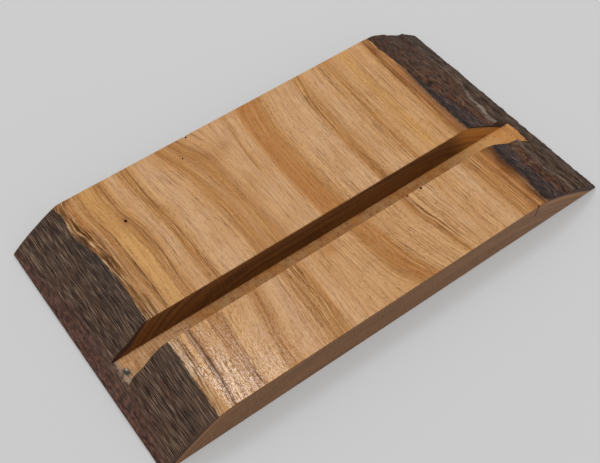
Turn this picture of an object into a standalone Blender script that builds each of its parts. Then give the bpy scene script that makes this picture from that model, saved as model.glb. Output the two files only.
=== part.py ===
# Live-edge dock: a short board sawn from just under the bark of a log, with a slanted groove
# cut across its grain, open at both ends.
# X runs along the board from one live edge to the other, Y along the grain from front to rear,
# Z up. The origin is on the ground under the middle of the board.

from math import asin, cos, exp, radians, sin, tan

import bmesh
import bpy
from mathutils import Vector, noise

MM = 0.001

# Between pieces that touch
GAP = 0.3 * MM
# How far cutting shapes run past what they cut
OVERRUN = 4 * MM

# The board
LENGTH = 289 * MM
WIDTH = 160 * MM
THICKNESS = 20 * MM
EASED_EDGE = 0.6 * MM

# The groove, by its front edge on the top face
GROOVE_FRONT_Y = -31.1 * MM
GROOVE_WIDTH = 15.7 * MM
GROOVE_DEPTH = 11 * MM
GROOVE_LEAN = radians(24.6)

# The live edges: slope from foot to top and round of the log there
LEFT_SLOPE = radians(32.5)
LEFT_LOG_RADIUS = 150 * MM
RIGHT_SLOPE = radians(26.7)
RIGHT_LOG_RADIUS = 140 * MM
# The log swells low on the left edge, near the groove
SWELLING_HEIGHT = 2.5 * MM
SWELLING_Y = -24 * MM
SWELLING_LENGTH = 40 * MM
SWELLING_SHARE = 0.25
SWELLING_SPREAD_SHARE = 0.2
# It is hollow on the right edge, by the rear face
HOLLOW_DEPTH = 1.4 * MM
HOLLOW_Y = 78 * MM
HOLLOW_LENGTH = 34 * MM
HOLLOW_SHARE = 0.35
HOLLOW_SPREAD_SHARE = 0.3
# The sharp foot of the bark is trimmed upright by this much
FOOT_TRIM = 0.6 * MM

# The bark
LEFT_BARK = 2.1 * MM
LEFT_BARK_AT_TOP_SHARE = 0.6
RIGHT_INNER_BARK = 1.0 * MM
RIGHT_INNER_BARK_AT_TOP_SHARE = 0.8
OUTER_BARK = 1.5 * MM
OUTER_BARK_LEAST = 0.5 * MM
OUTER_BARK_LUMP = 1.3 * MM
OUTER_BARK_RIDGE = 1.4 * MM
RIDGE_SHARE = 0.12
RIDGE_SPREAD_SHARE = 0.13
FOOT_CALM_SHARE = 0.12
INNER_BARK_WAVE = 0.25 * MM
BARK_LUMP_LENGTH = 21 * MM
BARK_LUMP_WIDTH = 7 * MM
# Where the outer bark is broken off, up the right edge, at the front and at the rear face
BREAK_FRONT_SHARE = 0.8
BREAK_REAR_SHARE = 0.92
BREAK_WANDER_SHARE = 0.07
BREAK_TAPER_SHARE = 0.16

# A short drying check that opens in the top edge of the front face
CHECK_FROM_RIGHT_BARK = 5 * MM
CHECK_WIDTH = 0.9 * MM
CHECK_HEIGHT = 7.5 * MM
CHECK_REACH = 5 * MM

# Thin round pads under the corners
PAD_DIAMETER = 12 * MM
PAD_THICKNESS = 1 * MM
PAD_RIM_BEVEL = 0.2 * MM
PAD_FROM_EDGE_FOOT = 12 * MM
PAD_FROM_FACE = 10 * MM

# How finely the round shapes are divided
FACET_LENGTH = 4 * MM
EDGE_STEPS = 12
OUTER_BARK_STEPS = 14
PAD_SIDES = 40
BEVEL_STEPS = 2
FLAT_ANGLE = radians(0.01)
SHARP_ANGLE = radians(30)

BOARD_FOOT_Z = PAD_THICKNESS + GAP
BOARD_TOP_Z = BOARD_FOOT_Z + THICKNESS


def smooth_step(value):
    held = min(max(value, 0), 1)
    return held * held * (3 - 2 * held)


class LiveEdge:
    # One sloping end of the board. The wood there is an arc of the log, from the foot of the
    # board (share 0) to its top (share 1), placed so that the bark on it ends at the board's end.
    # A swell is its height, its place and length along the grain, and its share and spread up
    # the slope.
    def __init__(self, side, slope, radius, bark, swell):
        self.slope_length = THICKNESS / sin(slope)
        half_arc = asin(self.slope_length / (2 * radius))
        self.side = side
        self.radius = radius
        self.swell = swell
        self.foot_angle = slope + half_arc
        self.top_angle = slope - half_arc
        self.foot_x = LENGTH / 2 + FOOT_TRIM - bark / sin(self.foot_angle)
        self.top_x = self.foot_x - self.slope_length * cos(slope)
        self.axis_x = self.foot_x - radius * sin(self.foot_angle)
        self.axis_z = BOARD_FOOT_Z - radius * cos(self.foot_angle)

    def point(self, share, y, height=0):
        # A point at a height above the wood, square to the log
        angle = self.foot_angle + (self.top_angle - self.foot_angle) * share
        swell_height, swell_y, swell_length, swell_share, spread_share = self.swell
        up_slope = exp(-((share - swell_share) / spread_share) ** 2)
        along_grain = exp(-((y - swell_y) / swell_length) ** 2)
        reach = self.radius + swell_height * up_slope * along_grain + height
        return Vector((self.side * (self.axis_x + reach * sin(angle)), y,
                       self.axis_z + reach * cos(angle)))

    def overrun_share(self):
        return OVERRUN / self.slope_length


LEFT_EDGE = LiveEdge(-1, LEFT_SLOPE, LEFT_LOG_RADIUS, GAP + LEFT_BARK,
                     (SWELLING_HEIGHT, SWELLING_Y, SWELLING_LENGTH, SWELLING_SHARE,
                      SWELLING_SPREAD_SHARE))
RIGHT_EDGE = LiveEdge(1, RIGHT_SLOPE, RIGHT_LOG_RADIUS,
                      GAP + RIGHT_INNER_BARK + GAP + OUTER_BARK,
                      (-HOLLOW_DEPTH, HOLLOW_Y, HOLLOW_LENGTH, HOLLOW_SHARE,
                       HOLLOW_SPREAD_SHARE))


def bark_wave(edge, share, y, layer):
    # Lumps drawn out along the grain, from -1 to 1, the same each time
    return noise.noise(Vector((share * edge.slope_length / BARK_LUMP_WIDTH,
                               y / BARK_LUMP_LENGTH, layer)))


def inner_bark_top(edge, bark, top_share, share, y):
    # Height of the inner bark's outer face above the wood. It thins towards the planed top.
    thinning = 1 - (1 - top_share) * smooth_step(share)
    return GAP + bark * thinning + INNER_BARK_WAVE * bark_wave(edge, share, y, 0)


def left_bark_top(share, y):
    return inner_bark_top(LEFT_EDGE, LEFT_BARK, LEFT_BARK_AT_TOP_SHARE, share, y)


def right_inner_bark_top(share, y):
    return inner_bark_top(RIGHT_EDGE, RIGHT_INNER_BARK, RIGHT_INNER_BARK_AT_TOP_SHARE, share, y)


def break_share(y):
    # How far up the right edge the outer bark is left
    along = y / WIDTH + 1 / 2
    wander = BREAK_WANDER_SHARE * noise.noise(Vector((0, y / BARK_LUMP_WIDTH, 1)))
    return BREAK_FRONT_SHARE + (BREAK_REAR_SHARE - BREAK_FRONT_SHARE) * along + wander


def outer_bark_top(share, y):
    ridge = OUTER_BARK_RIDGE * exp(-((share - RIDGE_SHARE) / RIDGE_SPREAD_SHARE) ** 2)
    lumps = OUTER_BARK_LUMP * bark_wave(RIGHT_EDGE, share, y, 2)
    calm = smooth_step(share / FOOT_CALM_SHARE)
    ridge_wave = smooth_step(1 / 2 - noise.noise(Vector((0, y / BARK_LUMP_LENGTH, 3))))
    edge_taper = smooth_step((break_share(y) - share) / BREAK_TAPER_SHARE)
    rise = (lumps + ridge * ridge_wave) * calm
    grown = (OUTER_BARK + rise - OUTER_BARK_LEAST) * edge_taper
    return outer_bark_foot(share, y) + OUTER_BARK_LEAST + max(grown, 0)


def outer_bark_foot(share, y):
    return right_inner_bark_top(share, y) + GAP


def evenly(start, end, steps):
    return [start + (end - start) * step / steps for step in range(steps + 1)]


def rows():
    # Stations along the grain, past both sawn faces
    reach = WIDTH / 2 + OVERRUN
    return evenly(-reach, reach, max(round(2 * reach / FACET_LENGTH), 1))


def new_object(name, mesh_data):
    mesh = bpy.data.meshes.new(name)
    mesh_data.to_mesh(mesh)
    mesh_data.free()
    piece = bpy.data.objects.new(name, mesh)
    bpy.context.collection.objects.link(piece)
    return piece


def loft(name, loops):
    # A closed solid through rings of points, each ring flat and across the grain
    shape = bmesh.new()
    rings = [[shape.verts.new(point) for point in loop] for loop in loops]
    for ring, following in zip(rings, rings[1:]):
        for place in range(len(ring)):
            shape.faces.new((ring[place - 1], ring[place], following[place],
                             following[place - 1]))
    shape.faces.new(rings[0])
    shape.faces.new(rings[-1])
    bmesh.ops.recalc_face_normals(shape, faces=shape.faces)
    bmesh.ops.dissolve_limit(shape, angle_limit=FLAT_ANGLE, verts=shape.verts, edges=shape.edges)
    return new_object(name, shape)


def as_cutter(piece):
    piece.hide_render = True
    piece.display_type = "WIRE"
    return piece


def cut(piece, operation, cutter):
    modifier = piece.modifiers.new(cutter.name, "BOOLEAN")
    modifier.operation = operation
    modifier.solver = "EXACT"
    modifier.object = cutter


def finish(piece, name, color, roughness):
    material = bpy.data.materials.new(name)
    material.use_nodes = True
    shader = material.node_tree.nodes["Principled BSDF"]
    shader.inputs["Base Color"].default_value = (*color, 1)
    shader.inputs["Roughness"].default_value = roughness
    shader.inputs["Metallic"].default_value = 0
    piece.data.materials.append(material)


def grooved_blank(name):
    # The sawn board with its groove, before its ends take the round of the log
    half_length = LENGTH / 2
    half_width = WIDTH / 2
    groove_rear_y = GROOVE_FRONT_Y + GROOVE_WIDTH / cos(GROOVE_LEAN)
    lean = GROOVE_DEPTH * tan(GROOVE_LEAN)
    floor_z = BOARD_TOP_Z - GROOVE_DEPTH
    outline = [
        (-half_width, BOARD_FOOT_Z),
        (-half_width, BOARD_TOP_Z),
        (GROOVE_FRONT_Y, BOARD_TOP_Z),
        (GROOVE_FRONT_Y - lean, floor_z),
        (groove_rear_y - lean, floor_z),
        (groove_rear_y, BOARD_TOP_Z),
        (half_width, BOARD_TOP_Z),
        (half_width, BOARD_FOOT_Z),
    ]
    shape = bmesh.new()
    end = shape.faces.new([shape.verts.new((-half_length, y, z)) for y, z in outline])
    extruded = bmesh.ops.extrude_face_region(shape, geom=[end])
    far_end = [item for item in extruded["geom"] if isinstance(item, bmesh.types.BMVert)]
    bmesh.ops.translate(shape, verts=far_end, vec=(LENGTH, 0, 0))
    bmesh.ops.recalc_face_normals(shape, faces=shape.faces)
    long_edges = [edge for edge in shape.edges
                  if abs(edge.verts[0].co.x - edge.verts[1].co.x) > half_length]
    eased = [edge for edge in long_edges if abs(edge.verts[0].co.z - floor_z) > EASED_EDGE]
    bmesh.ops.bevel(shape, geom=eased, offset=EASED_EDGE, offset_type="OFFSET",
                    segments=BEVEL_STEPS, profile=0.5, affect="EDGES")
    return new_object(name, shape)


def log_of_wood():
    # The log under its bark, a little longer and taller than the board
    loops = []
    for y in rows():
        left_over = LEFT_EDGE.overrun_share()
        right_over = RIGHT_EDGE.overrun_share()
        left = [LEFT_EDGE.point(share, y) for share in evenly(-left_over, 1 + left_over, EDGE_STEPS)]
        right = [RIGHT_EDGE.point(share, y)
                 for share in evenly(1 + right_over, -right_over, EDGE_STEPS)]
        loops.append(left + right)
    return as_cutter(loft("log_of_wood", loops))


def drying_check():
    # A thin wedge whose open end stands proud of the top and the front face
    x = RIGHT_EDGE.top_x - CHECK_FROM_RIGHT_BARK
    front = -WIDTH / 2
    top_end = Vector((x, front + CHECK_REACH, BOARD_TOP_Z))
    low_end = Vector((x, front, BOARD_TOP_Z - CHECK_HEIGHT))
    middle = (top_end + low_end) / 2
    corners = [Vector((x + side * CHECK_WIDTH / 2, front, BOARD_TOP_Z)) for side in (-1, 1)]
    shape = bmesh.new()
    points = [corner + (corner - middle) / 2 for corner in corners]
    points += [top_end + (top_end - low_end) / 2, low_end + (low_end - top_end) / 2]
    wedge = [shape.verts.new(point) for point in points]
    for left_out in wedge:
        shape.faces.new([corner for corner in wedge if corner is not left_out])
    bmesh.ops.recalc_face_normals(shape, faces=shape.faces)
    return as_cutter(new_object("drying_check", shape))


def slab(log, check):
    piece = grooved_blank("slab")
    cut(piece, "INTERSECT", log)
    cut(piece, "DIFFERENCE", check)
    finish(piece, "oiled_wood", (0.56, 0.31, 0.12), 0.35)


def bark_layer(name, edge, foot, top, end_share, steps, blank):
    # A layer between two heights above the wood, trimmed by the sawn faces and the groove
    loops = []
    for y in rows():
        shares = evenly(-edge.overrun_share(), end_share(y), steps)
        under = [edge.point(share, y, foot(share, y)) for share in shares]
        over = [edge.point(share, y, top(share, y)) for share in reversed(shares)]
        loops.append(under + over)
    piece = loft(name, loops)
    cut(piece, "INTERSECT", blank)
    return piece


def inner_bark_foot(share, y):
    return GAP


def past_left_top(y):
    return 1 + LEFT_EDGE.overrun_share()


def past_right_top(y):
    return 1 + RIGHT_EDGE.overrun_share()


def bark(blank):
    left = bark_layer("inner_bark_left", LEFT_EDGE, inner_bark_foot, left_bark_top,
                      past_left_top, EDGE_STEPS, blank)
    finish(left, "inner_bark_grey", (0.085, 0.062, 0.048), 0.5)
    right = bark_layer("inner_bark_right", RIGHT_EDGE, inner_bark_foot, right_inner_bark_top,
                       past_right_top, EDGE_STEPS, blank)
    finish(right, "inner_bark_brown", (0.16, 0.07, 0.035), 0.45)
    outer = bark_layer("outer_bark_right", RIGHT_EDGE, outer_bark_foot, outer_bark_top,
                       break_share, OUTER_BARK_STEPS, blank)
    finish(outer, "outer_bark", (0.075, 0.052, 0.04), 0.6)


def pad(name, x, y):
    shape = bmesh.new()
    radius = PAD_DIAMETER / 2
    bmesh.ops.create_cone(shape, cap_ends=True, segments=PAD_SIDES, radius1=radius,
                          radius2=radius, depth=PAD_THICKNESS)
    rims = [edge for edge in shape.edges if abs(edge.verts[0].co.z - edge.verts[1].co.z) < GAP]
    bmesh.ops.bevel(shape, geom=rims, offset=PAD_RIM_BEVEL, offset_type="OFFSET", segments=1,
                    affect="EDGES")
    piece = new_object(name, shape)
    piece.location = (x, y, PAD_THICKNESS / 2)
    piece.data.shade_smooth()
    piece.data.set_sharp_from_angle(angle=SHARP_ANGLE)
    finish(piece, name + "_rubber", (0.05, 0.045, 0.04), 0.85)


def pads():
    radius = PAD_DIAMETER / 2
    y = WIDTH / 2 - PAD_FROM_FACE - radius
    for edge, edge_name in ((LEFT_EDGE, "left"), (RIGHT_EDGE, "right")):
        x = edge.side * (edge.foot_x - PAD_FROM_EDGE_FOOT - radius)
        pad("pad_front_" + edge_name, x, -y)
        pad("pad_rear_" + edge_name, x, y)


def clear_scene():
    for item in list(bpy.data.objects):
        bpy.data.objects.remove(item, do_unlink=True)


def build_dock():
    clear_scene()
    blank = as_cutter(grooved_blank("grooved_blank"))
    slab(log_of_wood(), drying_check())
    bark(blank)
    pads()


build_dock()
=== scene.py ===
from math import asin, cos, radians, sin, tan

import bmesh
import bpy
from mathutils import Matrix, Vector


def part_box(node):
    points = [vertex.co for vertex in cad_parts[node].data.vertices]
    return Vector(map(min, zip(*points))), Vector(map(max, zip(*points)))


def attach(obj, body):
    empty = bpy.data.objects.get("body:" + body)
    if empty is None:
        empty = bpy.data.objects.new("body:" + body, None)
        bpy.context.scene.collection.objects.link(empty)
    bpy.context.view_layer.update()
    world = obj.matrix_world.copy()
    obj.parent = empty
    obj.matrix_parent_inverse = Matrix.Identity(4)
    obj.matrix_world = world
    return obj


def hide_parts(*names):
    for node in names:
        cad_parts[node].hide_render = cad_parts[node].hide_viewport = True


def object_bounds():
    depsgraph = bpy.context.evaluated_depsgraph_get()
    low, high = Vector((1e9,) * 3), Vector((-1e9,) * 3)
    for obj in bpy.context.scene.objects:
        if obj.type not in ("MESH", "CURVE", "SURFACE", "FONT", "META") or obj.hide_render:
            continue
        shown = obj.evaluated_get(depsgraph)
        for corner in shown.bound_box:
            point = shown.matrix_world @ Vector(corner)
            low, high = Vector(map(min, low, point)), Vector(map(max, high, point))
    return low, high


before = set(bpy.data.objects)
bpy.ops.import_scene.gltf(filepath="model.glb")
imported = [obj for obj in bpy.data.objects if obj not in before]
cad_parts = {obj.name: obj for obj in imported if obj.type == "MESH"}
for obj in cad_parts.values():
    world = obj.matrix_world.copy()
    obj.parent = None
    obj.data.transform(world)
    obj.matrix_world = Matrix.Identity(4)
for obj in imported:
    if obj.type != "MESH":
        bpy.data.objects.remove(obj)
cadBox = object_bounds()

mm = 0.001
boardLow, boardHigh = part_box("slab")
boardFoot = boardLow.z / mm
boardTop = boardHigh.z / mm
boardHalfWidth = boardHigh.y / mm
boardHalfLength = cadBox[1].x / mm
overrun = 4     # mm that cutting shapes run past what they cut
curveEnd = 84   # mm along the grain that the drawn curves reach either way


# Nodes, for materials and for shapes

class Result:
    # What a node gives out
    def __init__(self, nodes, socket):
        self.nodes = nodes
        self.socket = socket


class Color(Result):
    def lay(self, share, tone):
        # Lays another colour over this one, or a tone of the wood by its name
        self.socket = self.nodes.blend(share, self, woodTones.get(tone, tone)).socket


def reckoned(operation, flipped=False):
    # A sum of two amounts, or of a number and an amount
    def method(self, other):
        values = (other, self) if flipped else (self, other)
        return self.nodes.reckon(operation, *values)
    return method


class Amount(Result):
    # One number of a node tree, which can be reckoned with like any number
    __add__ = reckoned("ADD")
    __radd__ = reckoned("ADD", True)
    __sub__ = reckoned("SUBTRACT")
    __rsub__ = reckoned("SUBTRACT", True)
    __mul__ = reckoned("MULTIPLY")
    __rmul__ = reckoned("MULTIPLY", True)
    __truediv__ = reckoned("DIVIDE")
    __pow__ = reckoned("POWER")

    def __abs__(self):
        return self.nodes.reckon("ABSOLUTE", self)

    def bell(self, middle, spread):
        # 1 at the middle, falling to nothing past the spread
        away = (self - middle) / spread
        return self.nodes.reckon("EXPONENT", 0 - away * away)

    def step(self, start, end):
        # A soft step from 0 to 1
        made = self.nodes.add("ShaderNodeMapRange", [self, start, end],
                              interpolation_type="SMOOTHSTEP")
        return Amount(self.nodes, made.outputs[0])

    def held(self):
        # Kept from 0 to 1
        return self.nodes.least(self.nodes.most(self, 0), 1)


class Nodes:
    # Adds nodes to one tree and joins them up
    def __init__(self, tree):
        self.tree = tree

    def add(self, kind, values=(), **settings):
        made = self.tree.nodes.new(kind)
        for name, value in settings.items():
            setattr(made, name, value)
        pairs = values.items() if isinstance(values, dict) else enumerate(values)
        for place, value in pairs:
            self.join(value, made.inputs[place])
        return made

    def join(self, value, target):
        if isinstance(value, Result):
            value = value.socket
        if isinstance(value, bpy.types.NodeSocket):
            self.tree.links.new(value, target)
        elif isinstance(value, tuple):
            target.default_value = opaque(value)
        elif value is not None:
            target.default_value = value

    def reckon(self, operation, *values):
        return Amount(self, self.add("ShaderNodeMath", values, operation=operation).outputs[0])

    def least(self, *values):
        return self.reckon("MINIMUM", *values)

    def most(self, *values):
        return self.reckon("MAXIMUM", *values)

    def split(self, vector):
        made = self.add("ShaderNodeSeparateXYZ", [vector])
        return [Amount(self, output) for output in made.outputs]

    def vector(self, x, y, z):
        return self.add("ShaderNodeCombineXYZ", [x, y, z]).outputs[0]

    def scaled(self, vector, factor):
        made = self.add("ShaderNodeVectorMath", {0: vector, "Scale": factor}, operation="SCALE")
        return made.outputs[0]

    def noise(self, place, detail=2, roughness=0.5):
        # From 0 to 1, about 0.5 in the middle; the place is a tuple of amounts
        settings = {"Vector": self.vector(*place), "Scale": 1, "Detail": detail,
                    "Roughness": roughness}
        return Amount(self, self.add("ShaderNodeTexNoise", settings).outputs[0])

    def curve(self, y, points, reach):
        # A smooth line from front to rear through the points drawn, each a place along the
        # grain and a height within the reach
        made = self.add("ShaderNodeFloatCurve", {"Value": (y + curveEnd) / (2 * curveEnd)})
        line = made.mapping.curves[0]
        while len(line.points) < len(points):
            line.points.new(0, 0)
        places = sorted(((along + curveEnd) / (2 * curveEnd), height / reach / 2 + 0.5)
                        for along, height in points)
        for point, place in zip(line.points, places):
            point.location = place
        made.mapping.update()
        return (Amount(self, made.outputs[0]) - 0.5) * (2 * reach)

    def blend(self, share, first, second):
        made = self.add("ShaderNodeMix", {0: share, 6: first, 7: second}, data_type="RGBA")
        return Color(self, made.outputs[2])

    def weigh(self, share, first, second):
        made = self.add("ShaderNodeMix", {0: share, 2: first, 3: second})
        return Amount(self, made.outputs[0])

    def ramp(self, amount, stops):
        # Colours along 0 to 1, and their alpha
        made = self.add("ShaderNodeValToRGB", [amount])
        points = made.color_ramp.elements
        while len(points) < len(stops):
            points.new(1)
        for point, (place, color) in zip(points, stops):
            point.position = place
            point.color = opaque(color)
        return Color(self, made.outputs[0]), Amount(self, made.outputs[1])

    def tones(self, amount, stops):
        return self.ramp(amount, stops)[0]

    def grouped(self, name, recipe, *values):
        # Reckons a recipe in a node group of its own, which is made once under its name
        group = bpy.data.node_groups.get(name)
        if group is None:
            group = bpy.data.node_groups.new(name, self.tree.bl_idname)
            inside = Nodes(group)
            for number in range(len(values)):
                group.interface.new_socket("given " + str(number), in_out="INPUT",
                                           socket_type="NodeSocketFloat")
            given = inside.add("NodeGroupInput").outputs[:len(values)]
            results = recipe(inside, *[Amount(inside, socket) for socket in given])
            for number, result in enumerate(results):
                kind = "NodeSocketFloat" if isinstance(result, Amount) else "NodeSocketColor"
                group.interface.new_socket("result " + str(number), in_out="OUTPUT",
                                           socket_type=kind)
            inside.add("NodeGroupOutput", results)
        kind = "ShaderNodeGroup" if self.tree.type == "SHADER" else "GeometryNodeGroup"
        made = self.add(kind, values, node_tree=group)
        return [(Amount if output.type == "VALUE" else Color)(self, output)
                for output in made.outputs]


def opaque(color):
    # A colour with an alpha of 1, unless it has its own
    return (*color, 1)[:4]


# Modelling helpers

def deselect():
    bpy.ops.object.select_all(action="DESELECT")


def only(piece):
    # Selects one piece alone and makes it the active one
    if bpy.context.mode != "OBJECT":
        bpy.ops.object.mode_set(mode="OBJECT")
    deselect()
    piece.select_set(True)
    bpy.context.view_layer.objects.active = piece


def named(name):
    piece = bpy.context.active_object
    piece.name = name
    piece.data.name = name
    return piece


def settle(piece):
    # The piece's place goes into its mesh
    only(piece)
    bpy.ops.object.transform_apply(location=True, rotation=True, scale=True)


def box(name, low, high):
    deselect()
    middle = [(a + b) / 2 * mm for a, b in zip(low, high)]
    sides = [(b - a) * mm for a, b in zip(low, high)]
    bpy.ops.mesh.primitive_cube_add(size=1, location=middle, scale=sides)
    piece = named(name)
    settle(piece)
    return piece


def edit(piece):
    only(piece)
    bpy.ops.object.mode_set(mode="EDIT")


def done(piece):
    # Leaves edit mode with the faces pointing out
    bpy.ops.mesh.select_all(action="SELECT")
    bpy.ops.mesh.normals_make_consistent(inside=False)
    bpy.ops.object.mode_set(mode="OBJECT")


def pick(piece, kind, test):
    # Selects the points, edges or faces that pass a test, in edit mode
    bpy.ops.mesh.select_mode(type=kind)
    bpy.ops.mesh.select_all(action="DESELECT")
    shape = bmesh.from_edit_mesh(piece.data)
    parts = {"VERT": shape.verts, "EDGE": shape.edges, "FACE": shape.faces}[kind]
    for part in parts:
        part.select_set(test(part))
    bmesh.update_edit_mesh(piece.data)


def applied(piece, modifier):
    only(piece)
    bpy.ops.object.modifier_apply(modifier=modifier.name)


def cut(piece, cutter, operation="DIFFERENCE", keep=False):
    modifier = piece.modifiers.new("cut", "BOOLEAN")
    modifier.operation = operation
    modifier.solver = "EXACT"
    modifier.material_mode = "TRANSFER"
    modifier.object = cutter
    applied(piece, modifier)
    if not keep:
        bpy.data.objects.remove(cutter, do_unlink=True)


def shapedBy(piece, recipe):
    # Moves every point of a piece to where a recipe of nodes says, in mm
    tree = bpy.data.node_groups.new("recipe", "GeometryNodeTree")
    for way in ("INPUT", "OUTPUT"):
        tree.interface.new_socket("Mesh", in_out=way, socket_type="NodeSocketGeometry")
    nodes = Nodes(tree)
    start = nodes.add("NodeGroupInput")
    place = nodes.add("GeometryNodeInputPosition")
    inMm = nodes.split(nodes.scaled(place.outputs[0], 1 / mm))
    moved = nodes.scaled(nodes.vector(*recipe(nodes, *inMm)), mm)
    mover = nodes.add("GeometryNodeSetPosition", {0: start.outputs[0], 2: moved})
    nodes.add("NodeGroupOutput", [mover.outputs[0]])
    modifier = piece.modifiers.new("shaped", "NODES")
    modifier.node_group = tree
    applied(piece, modifier)
    bpy.data.node_groups.remove(tree)


def smooth(piece, angle):
    # Smooth but for its sharp edges, with the large flat faces kept flat
    only(piece)
    bpy.ops.object.shade_smooth_by_angle(angle=radians(angle))
    modifier = piece.modifiers.new("flat faces", "WEIGHTED_NORMAL")
    modifier.keep_sharp = True
    modifier.weight = 100
    applied(piece, modifier)


# The log that the board was sawn from

def liveEdge(side, slope, radius, foot, swells, bark, barkAtTop, bulge, softness):
    # Where the wood's round outside lies at one end of the board. A swell is its height, its
    # place and length along the grain, and its share and spread up the slope. A bulge is the
    # same for the bark. The softness is how far the top edge is rounded, in mm of height, from
    # front to rear.
    slope = radians(slope)
    slopeLength = (boardTop - boardFoot) / sin(slope)
    halfArc = asin(slopeLength / (2 * radius))
    footAngle = slope + halfArc
    footX = boardHalfLength + footTrim - foot / sin(footAngle)
    return {
        "side": side,
        "radius": radius,
        "footAngle": footAngle,
        "topAngle": slope - halfArc,
        "slopeLength": slopeLength,
        "axisX": footX - radius * sin(footAngle),
        "axisZ": boardFoot - radius * cos(footAngle),
        "swells": swells,
        "bark": bark,
        "barkAtTop": barkAtTop,
        "bulge": bulge,
        "softness": softness,
    }


footTrim = 0.6
leftEdge = liveEdge(-1, 32.5, 150, 2.4,
                    [(2.5, -24, 40, 0.25, 0.2), (-1.8, -36, 13, 0.62, 0.32)], 2.1, 0.6,
                    (3, -36, 13, 0.6, 0.4),
                    [(-84, 6), (-60, 5), (-40, 3), (-14, 3), (10, 3), (40, 2.5), (84, 1.5)])
rightEdge = liveEdge(1, 26.7, 140, 3.1, [(-1.4, 78, 34, 0.35, 0.3)], 1, 0.8,
                     (0, 0, 10, 0.5, 0.5),
                     [(-84, 2.5), (-32, 3), (-14, 3), (40, 2), (84, 1.5)])


def shareAt(nodes, edge, x):
    # Share of the way up the slope, from the foot to the top, over a place on the board
    across = nodes.most(x * edge["side"] - edge["axisX"], 0) / edge["radius"]
    angle = nodes.reckon("ARCSINE", nodes.least(across, 1))
    return (edge["footAngle"] - angle) / (edge["footAngle"] - edge["topAngle"])


def upSlope(nodes, edge, x):
    # The same share, and the mm that it stands for
    share = shareAt(nodes, edge, x)
    return share, share * edge["slopeLength"]


def placeAt(nodes, edge, share):
    # The place along the board that lies under a share of the way up
    angle = edge["footAngle"] - share * (edge["footAngle"] - edge["topAngle"])
    return (nodes.reckon("SINE", angle) * edge["radius"] + edge["axisX"]) * edge["side"]


def inSpot(share, y, middle, length, shareMiddle, spread):
    # 1 in the middle of a swell or bulge, falling off round it
    return share.bell(shareMiddle, spread) * y.bell(middle, length)


def logHeight(nodes, edge, x, y, layer):
    # How high the log's round outside lies with a layer of so many mm on it
    share = shareAt(nodes, edge, x)
    reach = layer + edge["radius"]
    for height, *spot in edge["swells"]:
        reach = reach + inSpot(share, y, *spot) * height
    across = nodes.most(x * edge["side"] - edge["axisX"], 0)
    return (reach * reach - across * across) ** 0.5 + edge["axisZ"]


def sanded(nodes, edge, y, height):
    # The planed top and the log's outside run into each other in a soft curve
    soft = nodes.curve(y, edge["softness"], 10)
    near = nodes.most(soft - abs(height - boardTop), 0)
    return nodes.least(height, boardTop) - near * near / (soft * 4)


def smoothBark(nodes, edge, x, y):
    # The outside of the layer next to the wood, without its lumps
    layer = layerOfBark(nodes, edge, x, y)
    return sanded(nodes, edge, y, logHeight(nodes, edge, x, y, layer))


def layerOfBark(nodes, edge, x, y):
    # How thick the layer next to the wood is
    share = shareAt(nodes, edge, x)
    height, *spot = edge["bulge"]
    return thinned(share, edge["barkAtTop"]) * edge["bark"] + inSpot(share, y, *spot) * height


def woodHeight(nodes, edge, x, y):
    return nodes.least(logHeight(nodes, edge, x, y, 0), smoothBark(nodes, edge, x, y))


def lowestWood(nodes, x, y):
    # The lower of the two ends, which is the one that counts
    return nodes.least(*[woodHeight(nodes, edge, x, y) for edge in (leftEdge, rightEdge)])


def thinned(share, atTop):
    return 1 - (1 - atTop) * share.step(0, 1)


# The board's wood

board = {
    "grooveFront": -31.1,    # mm, the groove's front edge on the top face
    "grooveWidth": 15.7,     # square to its walls
    "grooveDepth": 11,
    "grooveLean": 24.6,      # degrees
    "easedEdge": 0.35,
    "logStep": 2,            # mm between points of the log's round outside
    "flatWithin": 0.004,     # below the top, where it counts as flat
    "clearOfTop": 0.06,      # how far the log's points then clear the saw
}


def groovedBlank(name):
    # The sawn board with its groove, before its ends take the round of the log
    low = (-boardHalfLength, -boardHalfWidth, boardFoot)
    high = (boardHalfLength, boardHalfWidth, boardTop)
    blank = box(name, low, high)
    lean = tan(radians(board["grooveLean"]))
    mouth = board["grooveWidth"] / cos(radians(board["grooveLean"]))
    floor = boardTop - board["grooveDepth"]
    front = board["grooveFront"] - board["grooveDepth"] * lean
    top = boardTop + overrun
    groove = box("groove", (low[0] - overrun, front, floor),
                 (high[0] + overrun, front + mouth, top))
    edit(groove)
    pick(groove, "FACE", lambda face: face.normal.z > 0.9)
    bpy.ops.transform.translate(value=(0, (top - floor) * lean * mm, 0))
    done(groove)
    cut(blank, groove)
    edit(blank)
    floorZ = floor * mm
    pick(blank, "EDGE", lambda line: abs(line.verts[0].co.x - line.verts[1].co.x) > 0.1
         and abs(line.verts[0].co.z - floorZ) > mm)
    bpy.ops.mesh.bevel(offset=board["easedEdge"] * mm, segments=3, profile=0.6)
    done(blank)
    return blank


def roundTop(nodes, x, y, z):
    # The upper points drop onto the log's outside, and clear the saw where the top stays flat
    lowest = lowestWood(nodes, x, y)
    flat = nodes.reckon("GREATER_THAN", lowest, boardTop - board["flatWithin"])
    lowest = lowest + flat * board["clearOfTop"]
    upper = nodes.reckon("GREATER_THAN", z, 0)
    return x, y, nodes.weigh(upper, z, lowest)


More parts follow.
